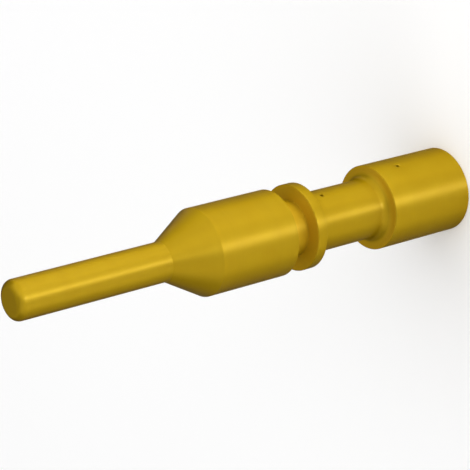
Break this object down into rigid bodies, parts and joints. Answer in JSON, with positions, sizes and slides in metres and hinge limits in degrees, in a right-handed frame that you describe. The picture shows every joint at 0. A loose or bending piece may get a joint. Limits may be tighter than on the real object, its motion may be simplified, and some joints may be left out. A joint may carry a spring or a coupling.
{
  "type": "crimp contact pin",
  "caption": "Turned, gold-plated male power contact with a cone shoulder, retention groove and collar, and a stepped crimp bore for the wire in its neck and rear barrel.",
  "frame": {"origin": "centre of the rear face, where the wire enters; the pin stands on that face", "axes": "+Z along the pin's axis, up to the mating tip; -Y is the side with the two inspection holes"},
  "size_m": [0.008, 0.008, 0.0481],
  "materials": {
    "gold_plate": "satin gold plating on turned brass"
  },
  "bodies": {
    "root": {"contact_pin": "gold_plate"}
  },
  "joints": []
}
